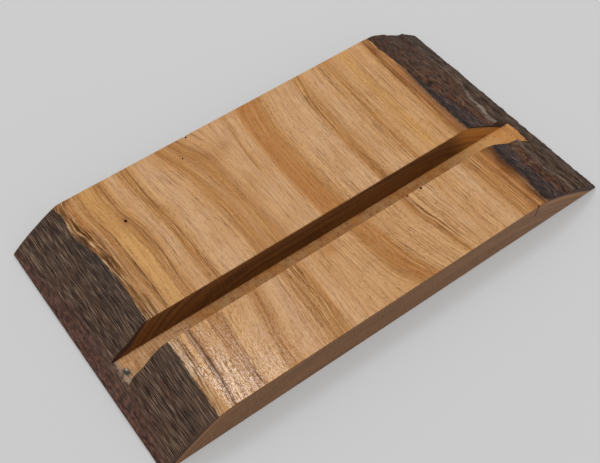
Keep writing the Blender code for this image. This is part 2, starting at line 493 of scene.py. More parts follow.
def logOfWood():
    length = 2 * (boardHalfLength + overrun)
    width = 2 * (boardHalfWidth + overrun)
    deselect()
    bpy.ops.mesh.primitive_grid_add(x_subdivisions=round(length / board["logStep"]),
                                    y_subdivisions=round(width / board["logStep"]), size=1,
                                    location=(0, 0, boardTop * mm))
    log = named("log")
    log.scale = (length * mm, width * mm, 1)
    settle(log)
    edit(log)
    bpy.ops.mesh.select_all(action="SELECT")
    bpy.ops.mesh.extrude_region_move(
        TRANSFORM_OT_translate={"value": (0, 0, -2 * boardTop * mm)})
    done(log)
    shapedBy(log, roundTop)
    return log


# Small hollows in the wood: middle, half lengths along X, Y and Z, and turn about Y in degrees
hollows = [
    ((-88, 47, 21.1), (0.75, 1, 3), 0),           # pin knots
    ((-40, 66, 21.1), (0.5, 0.6, 2), 0),
    ((-30, 80.2, 21.6), (0.9, 2.4, 1.6), 20),     # a chip out of the rear edge
    ((43.2, -31.4, 21.4), (0.9, 0.8, 0.7), 0),    # pits on the groove's edge
    ((52.8, -31.8, 21.4), (0.8, 0.7, 0.6), 0),
    ((94, -81, 17.4), (0.3, 3.6, 4.6), 9),        # a drying check from the top edge down
    ((94.8, -80.6, 20.8), (0.55, 1.8, 1.4), 9),
]


def cutHollows(slab, skin):
    for middle, sides, turn in hollows:
        deselect()
        bpy.ops.mesh.primitive_ico_sphere_add(subdivisions=3, radius=1)
        hollow = named("hollow")
        hollow.scale = [side * mm for side in sides]
        hollow.rotation_euler = (0, radians(turn), 0)
        hollow.location = [place * mm for place in middle]
        settle(hollow)
        hollow.data.materials.append(skin)
        cut(slab, hollow)


def makeSlab():
    slab = groovedBlank("slab_wood")
    slab.data.materials.clear()
    slab.data.materials.append(oiledWood())
    cut(slab, logOfWood(), "INTERSECT")
    cutHollows(slab, paintedShadeHollow())
    smooth(slab, 20)
    return slab


# The bark

film = 0.015      # mm, the least that a bark has, and its clearance from what it lies on


def layered(underside, outside, sideways=None):
    # Turns a flat sheet into a layer. Z tells its sides apart.
    def recipe(nodes, x, y, z):
        place = sideways(nodes, x, y) if sideways else x
        upper = nodes.reckon("GREATER_THAN", z, 0)
        low = underside(nodes, place, y) + film
        high = nodes.most(outside(nodes, place, y), low + film)
        return place, y, nodes.weigh(upper, low, high)
    return recipe


def onWood(edge):
    return lambda nodes, x, y: woodHeight(nodes, edge, x, y)


def flatSheet(name, lowX, highX, columns, rows, cuts):
    # A flat sheet whose upper side is divided more finely across the grain
    length = 2 * (boardHalfWidth + overrun)
    deselect()
    bpy.ops.mesh.primitive_grid_add(x_subdivisions=columns, y_subdivisions=rows, size=1,
                                    location=((lowX + highX) / 2 * mm, 0, -mm))
    sheet = named(name)
    sheet.scale = ((highX - lowX) * mm, length * mm, 1)
    settle(sheet)
    edit(sheet)
    bpy.ops.mesh.select_all(action="SELECT")
    bpy.ops.mesh.extrude_region_move(TRANSFORM_OT_translate={"value": (0, 0, 2 * mm)})
    pick(sheet, "EDGE", lambda line: all(point.co.z > 0 for point in line.verts)
         and abs(line.verts[0].co.x - line.verts[1].co.x) > 0.1 * mm)
    bpy.ops.mesh.subdivide(number_cuts=cuts)
    done(sheet)
    return sheet


def makeBark(name, settings, recipe, skin, blank):
    bark = flatSheet(name, *settings["span"], settings["columns"], settings["rows"],
                     settings["cuts"])
    shapedBy(bark, recipe)
    edit(bark)
    done(bark)
    bark.data.materials.append(skin)
    cut(bark, blank, "INTERSECT", keep=True)
    smooth(bark, 50)
    return bark


leftBark = {
    "span": (-147, -107),
    "columns": 44,
    "rows": 240,
    "cuts": 4,
    "fibreDepth": 0.13,
    "waveHeight": 0.3,
}


def barkFibres(nodes, edge, share, y):
    # Fine ridges along the grain, from 0 to 1
    across = share * edge["slopeLength"]
    sway = nodes.noise((across / 9, y / 26, 3))
    ridges = nodes.noise((across / 0.45 + sway * 1.5, y / 40, 0), 1)
    short = nodes.noise((across / 0.4 + sway * 2, y / 20, 7), 1)
    thin = nodes.noise((across / 0.34 + sway * 2, y / 8, 5), 0)
    return (ridges * 0.3 + short * 0.35 + thin * 0.35 - 0.5) * 4.5 + 0.5


def leftOutside(nodes, x, y):
    share, across = upSlope(nodes, leftEdge, x)
    wave = nodes.noise((across / 9, y / 24, 1)) - 0.5
    fibres = barkFibres(nodes, leftEdge, share, y) - 0.5
    rough = wave * 2 * leftBark["waveHeight"] + fibres * 2 * leftBark["fibreDepth"]
    planed = share.step(1.02, 1.09)
    layer = layerOfBark(nodes, leftEdge, x, y) + rough * (1 - planed)
    return sanded(nodes, leftEdge, y, logHeight(nodes, leftEdge, x, y, layer))


def makeLeftBark(blank):
    recipe = layered(onWood(leftEdge), leftOutside)
    return makeBark("left_bark", leftBark, recipe, leftBarkSkin(), blank)


rightInner = {
    "span": (99, 147),
    "columns": 36,
    "rows": 280,
    "cuts": 3,
    "lumpHeight": 0.5,
    # Share of the way up that the dark skin reaches, less one
    "darkTo": [(-84, -0.05), (-81, -0.065), (-76, -0.01), (-69, -0.035), (-59, -0.07),
               (-50, -0.06), (-44, -0.04), (-34, -0.085), (-10, -0.05), (30, -0.08), (52, -0.16),
               (60, -0.21), (64, -0.2), (68, -0.12), (73, -0.2), (84, -0.2)],
}


def rightInnerOutside(nodes, x, y):
    share, across = upSlope(nodes, rightEdge, x)
    lumps = nodes.noise((across / 3.4, y / 6, 5), 3, 0.6) - 0.5
    bare = (share - breakShare(nodes, y)).step(-0.02, 0.08)
    planed = share.step(1.02, 1.12)
    layer = (layerOfBark(nodes, rightEdge, x, y)
             + lumps * 2 * rightInner["lumpHeight"] * bare * (1 - planed))
    return sanded(nodes, rightEdge, y, logHeight(nodes, rightEdge, x, y, layer))


def makeRightInner(blank):
    recipe = layered(onWood(rightEdge), rightInnerOutside)
    return makeBark("right_inner_bark", rightInner, recipe, rightInnerSkin(), blank)


rightOuter = {
    "span": (0, 1),
    "foot": 147,
    "columns": 30,
    "rows": 470,
    "cuts": 4,
    "thickness": 1.3,
    "lumpHeight": 0.8,
    "furrowDepth": 1.1,
    "footRidge": 1.2,
    "crestHeight": 0.7,
    "breakWander": 0.1,
    "taperShare": 0.1,
    "fullness": 1.15,
    # Share of the way up where it is broken off, from front to rear
    "break": [(-84, 0.6), (-80, 0.62), (-66, 0.67), (-57, 0.68), (-48, 0.685), (-37, 0.63),
              (-20, 0.56), (-10, 0.6), (10, 0.72), (30, 0.82), (60, 0.9), (84, 0.92)],
    # Share of the way up of a raised crest
    "crest": [(-84, 0.46), (-76, 0.46), (-70, 0.44), (-65, 0.48), (-50, 0.5), (-30, 0.42),
              (-21, 0.39), (-16, 0.44), (-11, 0.46), (-3, 0.4), (7, 0.385), (16, 0.3), (24, 0.25),
              (60, 0.22), (84, 0.2)],
}


def breakShare(nodes, y):
    # How far up the slope the outer bark is left
    along = nodes.curve(y, rightOuter["break"], 1)
    wander = nodes.noise((y / 6, 2, 1), 3, 0.6) - 0.5
    return along + wander * rightOuter["breakWander"]


def crestShare(nodes, y):
    return nodes.curve(y, rightOuter["crest"], 1)


def furrows(nodes, share, y):
    # Furrowed bark, from 0 in the furrows to 1 on the ridges
    across = share * rightEdge["slopeLength"]
    sway = nodes.noise((across / 11, y / 17, 4))
    wide = nodes.noise((across / 2.4 + sway * 3, y / 11, 8), 3, 0.55)
    fine = nodes.noise((across / 0.8 + sway * 4, y / 4, 2), 3, 0.6)
    return ((wide * 0.6 + fine * 0.4 - 0.5) * 2.2 + 0.5).held()


def upToBreak(nodes, x, y):
    # Spreads the sheet, 1 mm wide as it is laid, from the foot to the break
    end = placeAt(nodes, rightEdge, breakShare(nodes, y))
    return rightOuter["foot"] - x * (rightOuter["foot"] - end)


def outerUnderside(nodes, x, y):
    return smoothBark(nodes, rightEdge, x, y)


def outerOutside(nodes, x, y):
    share, across = upSlope(nodes, rightEdge, x)
    lumps = nodes.noise((across / 6, y / 15, 9), 3) - 0.5
    footRidge = share.bell(0.12, 0.13) * nodes.noise((0, y / 21, 3), 1).step(0.3, 0.7)
    calm = share.step(0, 0.12)
    crest = crestShare(nodes, y)
    plate = (crest - share).step(-0.05, 0.03) * 0.4 + share.bell(crest, 0.035)
    grown = (rightOuter["thickness"] + plate * rightOuter["crestHeight"] * calm
             + (lumps * 2 * rightOuter["lumpHeight"] + footRidge * rightOuter["footRidge"]) * calm
             + (furrows(nodes, share, y) - 0.6) * rightOuter["furrowDepth"])
    taper = (breakShare(nodes, y) - share).step(0, rightOuter["taperShare"])
    grown = nodes.most(grown * taper, 0) * rightOuter["fullness"]
    high = outerUnderside(nodes, x, y) + grown + film * 3
    near = nodes.most(1 - abs(high - boardTop), 0)
    return nodes.least(high, boardTop) - near * near / 4


def makeRightOuter(blank):
    recipe = layered(outerUnderside, outerOutside, upToBreak)
    return makeBark("right_outer_bark", rightOuter, recipe, rightOuterSkin(), blank)


# Finishes

def material(name):
    made = bpy.data.materials.new(name)
    made.use_nodes = True
    nodes = Nodes(made.node_tree)
    place = nodes.add("ShaderNodeTexCoord").outputs["Object"]
    return made, nodes, nodes.split(nodes.scaled(place, 1 / mm))


def finish(made, nodes, color, rough, gloss, height, depth):
    # Joins up a material. Height from 0 to 1 becomes relief of a depth in mm.
    inputs = made.node_tree.nodes["Principled BSDF"].inputs
    nodes.join(color, inputs["Base Color"])
    nodes.join(rough, inputs["Roughness"])
    nodes.join(gloss, inputs["Specular IOR Level"])
    bump = nodes.add("ShaderNodeBump", {"Height": height, "Distance": depth * mm, "Strength": 1})
    nodes.join(bump.outputs[0], inputs["Normal"])
    return made


def planedAway(made, nodes, share, top, color, rough, gloss, height, woodRelief, depth):
    # A finish that gives way to the planed top's by a share
    wood, relief, woodRough, woodGloss = top
    color.lay(share, wood)
    return finish(made, nodes, color, nodes.weigh(share, rough, woodRough),
                  nodes.weigh(share, gloss, woodGloss),
                  nodes.weigh(share, height, relief * woodRelief), depth)


woodTones = {
    "pale": (0.605, 0.348, 0.172),
    "light": (0.578, 0.312, 0.130),
    "honey": (0.565, 0.289, 0.086),
    "tan": (0.435, 0.195, 0.051),
    "brown": (0.27, 0.108, 0.024),
    "umber": (0.12, 0.043, 0.010),
    "ink": (0.022, 0.009, 0.005),
    "orange": (0.43, 0.168, 0.036),
    "rust": (0.24, 0.076, 0.014),
    "straw": (0.44, 0.27, 0.14),
    "rose": (0.50, 0.25, 0.098),
}

# Bands across the rear land, where they cross y 60: place in mm, tone, how streaky
rearBands = [
    (-118, "umber", 1), (-115, "straw", 1), (-112.6, "brown", 1), (-111.4, "umber", 0.9),
    (-110, "brown", 0.6), (-108, "tan", 0.5), (-105, "light", 0.4), (-103, "tan", 0.6),
    (-101, "tan", 0.6), (-98.8, "honey", 0.2), (-96.6, "honey", 0.1), (-92.6, "honey", 0.05),
    (-90.4, "tan", 0.4), (-88.4, "tan", 0.6), (-86, "tan", 0.4), (-83, "light", 0.3),
    (-79, "pale", 0.3), (-75, "light", 0.4), (-73, "tan", 0.6), (-71, "tan", 0.7),
    (-69.5, "tan", 0.5), (-67, "light", 0.2), (-62, "pale", 0.1), (-56, "pale", 0.05),
    (-49, "light", 0.2), (-45, "tan", 0.4), (-42, "tan", 0.2), (-38, "rose", 0.2),
    (-35, "tan", 0.3), (-31, "tan", 0.3), (-27, "rose", 0.2), (-22, "light", 0.1),
    (-10, "pale", 0.1), (-6, "light", 0.2), (-3.2, "pale", 0.1), (0, "light", 0.1),
    (3, "orange", 0.1), (8, "orange", 0.2), (13, "orange", 0.2), (16, "tan", 0.2),
    (21, "light", 0.3), (29, "pale", 0.3), (35, "pale", 0.1), (40, "pale", 0.3),
    (43.5, "tan", 0.8), (46.5, "tan", 0.7), (50, "light", 0.4), (56, "pale", 0.1),
    (61, "light", 0.4), (64, "light", 0.5), (68, "tan", 0.4), (74, "light", 0.3),
    (82, "honey", 0.2), (87, "light", 0.3), (94, "light", 0.3), (97, "tan", 0.4),
    (98.6, "brown", 0.6), (100, "rust", 0.4), (103, "orange", 0.4), (106, "orange", 0.6),
    (110, "rust", 0.6),
]

# Bands across the front land, where they cross y -55
frontBands = [
    (-113, "umber", 1), (-110.6, "straw", 1), (-108, "straw", 1), (-106, "tan", 0.9),
    (-104.6, "tan", 0.8), (-103.2, "honey", 0.4), (-101.6, "honey", 0.4), (-100.4, "straw", 0.9),
    (-98.6, "umber", 0.7), (-97.2, "tan", 0.9), (-94, "light", 1), (-90, "light", 1),
    (-88, "tan", 1), (-85.6, "tan", 1), (-83.4, "tan", 0.9), (-81.6, "tan", 0.6),
    (-79.6, "honey", 0.2), (-75, "light", 0.2), (-68, "light", 0.4), (-65, "tan", 0.7),
    (-62.6, "tan", 0.5), (-60.6, "tan", 0.3), (-57, "light", 0.2), (-50, "pale", 0.2),
    (-44, "light", 0.7), (-38, "tan", 1), (-35, "tan", 0.9), (-31.5, "tan", 0.6),
    (-29, "light", 0.3), (-26, "pale", 0.2), (-20, "light", 0.3), (-14, "light", 0.3),
    (-5, "light", 0.3), (3, "light", 0.3), (6.6, "tan", 0.6), (9, "orange", 0.4),
    (14, "orange", 0.4), (18, "tan", 0.6), (22, "light", 0.6), (28, "light", 0.5),
    (33, "light", 0.8), (36.5, "light", 0.6), (40, "light", 0.7), (43, "tan", 0.8),
    (47, "light", 0.8), (52, "light", 0.6), (57, "pale", 0.4), (61, "light", 0.4),
    (65, "light", 0.5), (70, "light", 0.4), (77, "pale", 0.2), (82, "light", 0.4),
    (84.7, "tan", 0.8), (88, "tan", 0.8), (90.5, "orange", 0.8), (93, "rust", 0.8),
    (95.5, "orange", 0.9), (98, "rust", 0.8), (100.5, "umber", 0.5), (104, "umber", 0.4),
    (108, "umber", 0.4),
]

# How the grain wanders: for places across the board, points of y and how far it has moved
grainDrift = [
    (-112, [(-80, -2.6), (-70, -1.2), (-60, -0.2), (-50, 0.2), (-31, 0.4), (-13, 5.5), (5, 5.5),
        (20, 5), (45, 3), (64, 0), (80, 2)]),
    (-99, [(-80, -2.2), (-70, -1.2), (-60, -0.3), (-50, 0.5), (-31, 1), (-13, 2), (35, 1.6),
        (50, 1), (60, 0), (70, -1), (80, 0)]),
    (-85, [(-80, -1.6), (-60, -0.6), (-50, 0.4), (-31, 1.4), (-13, 3), (10, 3.6), (20, 4.4),
        (32, 4.4), (40, 3.4), (50, 1.4), (60, 0), (80, 0.2)]),
    (-68, [(-80, -2.6), (-70, -2.2), (-60, -1.2), (-50, 1.8), (-40, 4), (-31, 5.6), (-13, 2),
        (30, 2), (40, 1.4), (60, 0), (80, 0)]),
    (-38, [(-80, -2.6), (-70, -1.6), (-60, -0.5), (-45, 0.4), (-31, 1.2), (-13, 4), (40, 3),
        (60, 0), (68, -3), (80, -7)]),
    (-5, [(-80, 1), (-55, 0), (-31, -1), (-13, -2), (40, -1.2), (60, 0), (80, 2.2)]),
    (12, [(-80, 7.5), (-73, 4.8), (-65, 2), (-55, 0), (-45, -1.4), (-31, -2.6), (-13, -3),
        (50, -1.6), (60, 0), (80, 4.6)]),
    (45, [(-80, 4), (-65, 1.4), (-55, 0), (-45, -2.4), (-31, -3.2), (-13, -3), (50, -1), (60, 0),
        (80, 4)]),
    (64, [(-80, 0.6), (-55, 0), (-31, -0.3), (-13, -2), (60, 0), (80, 1)]),
    (96, [(-80, 1), (-55, 0), (-40, -0.6), (-31, -1), (-13, -2), (60, 0), (80, 1.4)]),
]

# Single lines in the grain: tone, width in mm, strength, and points of y and x along it
grainLines = [
    ("umber", 0.83, 0.9, [(80, -109.4), (74, -111), (64, -111.4), (57, -110), (45, -108.4),
        (30, -107), (15, -105.6), (0, -105), (-14, -104.6)]),
    ("umber", 0.33, 0.78, [(52, -108), (40, -107), (30, -106.3), (20, -106), (0, -105),
        (-14, -104.6)]),
    ("umber", 0.29, 0.65, [(46, -106.4), (30, -104.6), (15, -103.8), (-14, -102.6)]),
    ("umber", 0.42, 0.8, [(80, -99.4), (64, -101.2), (51, -100), (42, -98.7), (24, -98.4),
        (-14, -98.6)]),
    ("brown", 0.38, 0.65, [(72, -103.4), (60, -103), (45, -101.4), (30, -100.6), (0, -100.2)]),
    ("ink", 0.32, 1, [(24, -98.1), (10, -98), (0, -98.1), (-14, -98.7)]),
    ("umber", 0.29, 0.91, [(20, -99.3), (5, -99.2), (-14, -99.8)]),
    ("umber", 0.5, 0.8, [(80, -87.8), (66, -87.6), (55, -87.3), (50, -86.2), (42, -84.5),
        (30, -83.2), (17, -82.6), (5, -83.7), (-14, -84.6)]),
    ("umber", 0.22, 0.65, [(60, -88.6), (51, -88.2), (42, -86.4), (28, -85.4), (10, -85.4)]),
    ("brown", 0.38, 0.78, [(56, -89), (51, -90), (42, -89.4), (30, -88.2), (17, -87.3),
        (3, -88.6)]),
    ("brown", 0.22, 0.65, [(80, -74.8), (55, -74.6), (40, -74)]),
    ("umber", 0.29, 0.6, [(80, -72.8), (55, -73.2), (34, -72)]),
    ("umber", 0.42, 0.7, [(80, -69.8), (55, -69.8), (42, -69.3), (30, -68.1), (17, -67.6),
        (3, -68.1), (-14, -67.8)]),
    ("brown", 0.38, 0.65, [(50, -71.8), (30, -70.6), (10, -70.4), (-14, -71)]),
    ("tan", 0.65, 1, [(80, -46.4), (67, -42.6), (61, -38.6), (59, -34), (56, -29)]),
    ("brown", 0.29, 0.65, [(80, -50), (70, -50.6), (60, -49), (50, -47.6)]),
    ("brown", 0.55, 0.59, [(78, -36), (70, -33.4), (64, -30.6), (57, -27)]),
    ("brown", 0.46, 0.78, [(80, -4.4), (67, -6.4), (55, -8.2), (30, -10)]),
    ("umber", 0.38, 0.78, [(80, 49.4), (66, 46.2), (55, 44), (30, 42)]),
    ("brown", 0.46, 0.78, [(80, 45.6), (66, 44), (55, 43)]),
    ("brown", 0.38, 0.65, [(80, 66), (66, 63.4), (55, 61.2)]),
    ("umber", 0.22, 0.65, [(80, 86.8), (66, 86), (55, 85.2), (20, 84)]),
    ("umber", 0.55, 1, [(80, 99.4), (70, 98.6), (60, 98), (52, 97), (30, 97)]),
    ("straw", 0.6, 0.9, [(80, 105), (72, 103.6), (62, 104.8), (50, 104.6)]),
    ("ink", 0.28, 0.91, [(-31, -104.3), (-45, -105.2), (-52, -105.6), (-60, -106.4), (-70, -107.3),
        (-80, -108.6)]),
    ("umber", 0.19, 1, [(-31, -106), (-48, -106.8), (-60, -107.8), (-80, -110)]),
    ("ink", 0.31, 1, [(-31, -97.8), (-50, -98.3), (-60, -98.9), (-70, -100.2), (-80, -101.2)]),
    ("umber", 0.19, 1, [(-31, -99.6), (-50, -100.2), (-60, -100.8), (-70, -102), (-80, -103)]),
    ("umber", 0.15, 0.78, [(-31, -96.2), (-50, -96.8), (-60, -97.2), (-80, -99)]),
    ("brown", 0.19, 0.91, [(-31, -92.6), (-50, -93), (-65, -94), (-80, -95.4)]),
    ("brown", 0.19, 1, [(-31, -88.5), (-60, -89), (-80, -91)]),
    ("umber", 0.22, 0.91, [(-31, -86.4), (-60, -86), (-80, -87.6)]),
    ("brown", 0.22, 1, [(-31, -84.8), (-60, -84.2), (-80, -86)]),
    ("umber", 0.19, 0.78, [(-31, -82.2), (-50, -82), (-60, -82.8), (-80, -84)]),
    ("brown", 0.37, 1, [(-31, -57.7), (-40, -59.3), (-50, -61.4), (-55, -63), (-60, -64.3),
        (-70, -64.8), (-80, -65)]),
    ("brown", 0.25, 0.91, [(-44, -62.4), (-52, -64.4), (-60, -66), (-70, -68), (-80, -69.6)]),
    ("brown", 0.5, 0.78, [(-31, -33.9), (-45, -33.9), (-55, -32.7), (-66, -33.8), (-80, -35.6)]),
    ("orange", 0.56, 0.91, [(-31, -27.7), (-50, -29.7), (-60, -31), (-70, -32.7)]),
    ("brown", 0.22, 1, [(-52, -38), (-62, -40.4), (-72, -43), (-80, -45.4)]),
    ("brown", 0.19, 0.91, [(-56, -36.4), (-66, -38.6), (-80, -42)]),
    ("brown", 0.19, 0.78, [(-58, -41.6), (-68, -44.4), (-80, -48)]),
    ("brown", 0.19, 0.65, [(-31, -37), (-50, -37), (-66, -36.4)]),
    ("brown", 0.37, 1, [(-31, 5.4), (-45, 6.7), (-55, 7.9), (-65, 9.6), (-73, 12.5), (-80, 15.8)]),
    ("brown", 0.19, 0.78, [(-40, 9.4), (-50, 11), (-60, 13.4), (-70, 16.6)]),
    ("umber", 0.19, 0.65, [(-66, 19.4), (-72, 21), (-80, 21.4)]),
    ("brown", 0.31, 0.78, [(-31, 40.8), (-45, 41.7), (-55, 44.2), (-65, 45), (-80, 47.6)]),
    ("umber", 0.15, 0.78, [(-36, 43), (-48, 44.6), (-58, 46.8), (-70, 48)]),
    ("brown", 0.15, 0.65, [(-31, 61.4), (-60, 61.8), (-80, 62.6)]),
    ("brown", 0.25, 0.91, [(-31, 84.6), (-55, 85), (-80, 85.6)]),
    ("brown", 0.19, 0.91, [(-31, 88.4), (-55, 88.4), (-80, 89.4)]),
    ("umber", 0.25, 1, [(-31, 93.4), (-45, 93.7), (-60, 94), (-80, 95.6)]),
    ("umber", 0.19, 0.78, [(-50, 91.4), (-65, 92), (-80, 93)]),
    ("umber", 0.25, 0.78, [(-31, 96.4), (-50, 97.2), (-65, 98.2), (-80, 98.6)]),
]

# Patches of another tone: tone, strength, middle x and y, half length and half width in mm, turn
woodPatches = [
    ("orange", 0.5, 13, -56, 16, 4.2, -12),      # the dark body of the V
    ("orange", 0.45, 9, -40, 10, 2.4, -6),
    ("orange", 0.7, -11.8, -34, 4, 5.5, 0),      # the arch beside the groove
    ("rust", 0.4, -30, 60, 8, 4, 38),            # reddish arches of the rear land
    ("rust", 0.35, -16, 60, 6, 4, -30),
    ("orange", 0.4, -46, 72, 10, 2.4, 24),
    ("orange", 0.35, -108, 60, 14, 4, 0),
    ("umber", 0.5, -108, 4, 24, 3, 0),           # fibrous wood beside the bark
    ("umber", 0.6, 20.5, 77, 1.8, 0.8, 0),       # a dark fleck
    ("umber", 0.9, -88, 47.4, 2.6, 1.5, 0),      # shade round the pin knot
    ("brown", 0.7, -71, -9, 3, 2, 10),           # a small knot beside the groove
    ("umber", 0.7, -70.6, -10, 1.1, 0.8, 0),
    ("umber", 0.8, 46.4, -52, 0.7, 0.4, 0),
    ("umber", 0.8, 51, -63, 0.8, 0.4, 0),
    ("umber", 0.7, 52.5, -45, 0.7, 0.4, 0),
]


def driftOfGrain(nodes, x, y):
    def recipe(inside, x, y):
        lines = [(place, inside.curve(y, points, 10)) for place, points in grainDrift]
        drift = lines[0][1]
        for (before, _), (after, line) in zip(lines, lines[1:]):
            drift = inside.weigh(x.step(before, after), drift, line)
        return [drift]
    return nodes.grouped("drift of grain", recipe, x, y)[0]


def bandColors(nodes, across, bands):
    # A tone for each place across the board, and how streaky it is
    stopsAtMost = 30
    color = None
    for start in range(0, len(bands) - 1, stopsAtMost - 1):
        chunk = bands[start:start + stopsAtMost]
        low, high = chunk[0][0], chunk[-1][0]
        stops = [((place - low) / (high - low), (*woodTones[tone], streak))
                 for place, tone, streak in chunk]
        tone, streak = nodes.ramp((across - low) / (high - low), stops)
        if color is None:
            color, streaky = tone, streak
        else:
            further = nodes.reckon("GREATER_THAN", across, low)
            color.lay(further, tone)
            streaky = nodes.weigh(further, streaky, streak)
    return color, streaky


def alongLine(nodes, name, x, y, width, points):
    # 1 on a line, falling off on either side and past its ends
    def recipe(inside, x, y):
        middle = sum(place for _, place in points) / len(points)
        reach = max(abs(place - middle) for _, place in points) + 1
        line = inside.curve(y, [(along, place - middle) for along, place in points], reach)
        low = min(along for along, _ in points)
        high = max(along for along, _ in points)
        ends = y.step(low - 2, low + 4) * (1 - y.step(high - 4, high + 2))
        return [(x - middle - line).bell(0, width) * ends]
    return nodes.grouped(name, recipe, x, y)[0]


def inPatch(nodes, x, y, middleX, middleY, halfLength, halfWidth, turn):
    # 1 in the middle of a long round patch, whose length runs along Y before it is turned
    c, s = cos(radians(turn)), sin(radians(turn))
    across = ((x - middleX) * c + (y - middleY) * s) / halfWidth
    along = ((y - middleY) * c - (x - middleX) * s) / halfLength
    return nodes.reckon("EXPONENT", 0 - across * across - along * along)


def grainOfTop(nodes, x, y, z):
    sway = nodes.noise((x / 22, y / 70, z / 22)) - 0.5
    ripple = nodes.noise((x / 4, y / 18, z / 5)) - 0.5
    moved = x + sway * 0.8 + ripple * 0.8
    along = moved - driftOfGrain(nodes, x, y)
    rearColor, rearStreaky = bandColors(nodes, along, rearBands)
    frontColor, frontStreaky = bandColors(nodes, along, frontBands)
    rear = y.step(-30, -14)
    color = nodes.blend(rear, frontColor, rearColor)
    streaky = nodes.weigh(rear, frontStreaky, rearStreaky)
    for tone, strength, *place in woodPatches:
        color.lay(inPatch(nodes, moved, y, *place) * strength, tone)

    # Fine lines along the grain, dark and bright, in bunches
    bunch = nodes.noise((along / 4, y / 50, z / 6)).step(0.38, 0.62)
    line = nodes.noise((along / 1.5, y / 60, z / 2))
    hair = nodes.noise((along / 0.75, y / 42, z / 2))
    thread = nodes.noise((along / 0.42, y / 16, z / 2), 2, 0.6)
    much = streaky * (bunch * 0.7 + 0.45) + 0.1 + rear * 0.06
    color.lay((line.step(0.52, 0.66) * much * 0.4).held(), "brown")
    color.lay((hair.step(0.54, 0.64) * much * 0.8).held(), "brown")
    color.lay((thread.step(0.53, 0.63) * (much * 0.65 + 0.18 + rear * 0.08)).held(), "umber")
    bright = (0.49 - hair).step(0.02, 0.14) * (much + 0.15)
    color.lay((bright * 0.5).held(), (0.72, 0.43, 0.18))

    # Lines drawn one by one, broken here and there
    broken = nodes.noise((x / 2, y / 9, 4)).step(0.28, 0.6) * 0.5 + 0.5
    for number, (tone, width, strength, points) in enumerate(grainLines):
        drawn = alongLine(nodes, "grain line " + str(number), moved, y, width, points)
        color.lay(drawn * broken * strength, tone)

    # Frayed fibres, pale and dark, beside the left bark
    frayed = (1 - (along + ripple * 3).step(-109.5, -103)) * 0.9
    fibre = nodes.noise(((along + ripple * 2) / 1.05, y / 19, 3), 3, 0.6) + 0.05 - rear * 0.07
    tone = nodes.tones(fibre, [(0.37, (0.035, 0.015, 0.006)), (0.46, (0.14, 0.06, 0.02)),
                               (0.53, (0.34, 0.17, 0.065)), (0.62, (0.64, 0.44, 0.24))])
    color.lay(frayed, tone)

    # A rusty waving band in that wood toward the rear
    rusty = ((along + 108.5 + ripple * 6).bell(0, 3) * fibre.step(0.42, 0.5)
             * (y.step(-20, 10) * 0.35 + y.bell(62, 16) * 0.65))
    color.lay(rusty * 0.85, (0.46, 0.175, 0.032))

    # Pores, as short dashes
    pores = nodes.noise((along / 0.45, y / 2.2, z / 0.5)).step(0.55, 0.66)
    color.lay(pores * (streaky * 0.35 + 0.24), "umber")

    # Clouds of light and dark
    cloud = nodes.noise((x / 14, y / 22, z / 20), 3)
    color.lay(cloud.step(0.4, 0.65) * 0.3, "tan")
    speckle = nodes.noise((along / 0.36, y / 0.9, z / 0.5), 2, 0.6)
    relief = (line * 0.15 + hair * 0.25 + thread * 0.3 + speckle * 0.15 - pores * 0.15
              + frayed * fibre * 0.1)
    # The finish lies on the raised grain, so that it sparkles in specks and leaves lines dull
    redness = nodes.split(color)[0]
    gloss = speckle.step(0.44, 0.58) * (1 - pores) * 0.55 + 0.12
    gloss = gloss * (redness.step(0.08, 0.4) * 0.85 + 0.15)
    return [color, relief, pores * 0.15 + 0.18, gloss]


def planedTop(nodes, x, y, z):
    # Its colour, relief, roughness and gloss
    return nodes.grouped("planed top", grainOfTop, x, y, z)


def boardSurface(nodes, x, y):
    # How high the wood's upper side lies
    def recipe(inside, x, y):
        return [inside.least(lowestWood(inside, x, y), boardTop)]
    return nodes.grouped("board surface", recipe, x, y)[0]


def endGrain(nodes, x, y, z):
    # Rings round the log on sawn faces: how dark, and how far a ray shows
    outward = nodes.most(x - rightEdge["axisX"], -leftEdge["axisX"] - x)
    outward = nodes.most(outward, 0)
    up = z - leftEdge["axisZ"]
    sway = nodes.noise((x / 22, y / 70, z / 22)) - 0.5
    ring = (outward * outward + up * up) ** 0.5 + sway * 3
    wide = nodes.noise((ring / 1.7, x / 120, 2))
    fine = nodes.noise((ring / 0.55, x / 26, 5), 2, 0.6)
    rings = wide.step(0.44, 0.6) * 0.6 + fine.step(0.42, 0.62) * 0.4
    rays = nodes.noise((ring / 6, x / 0.9, y / 8)).step(0.5, 0.68)
    return [rings, rays]


wallSpan = (-37.2, -36.9, -13.5, -13.2)   # Y where the groove's walls begin and end, softly
stainPlace = (-27.2, 2.4, 1.6, 25)        # middle Y, half length, half width, turn
stainTone = (0.035, 0.033, 0.03)


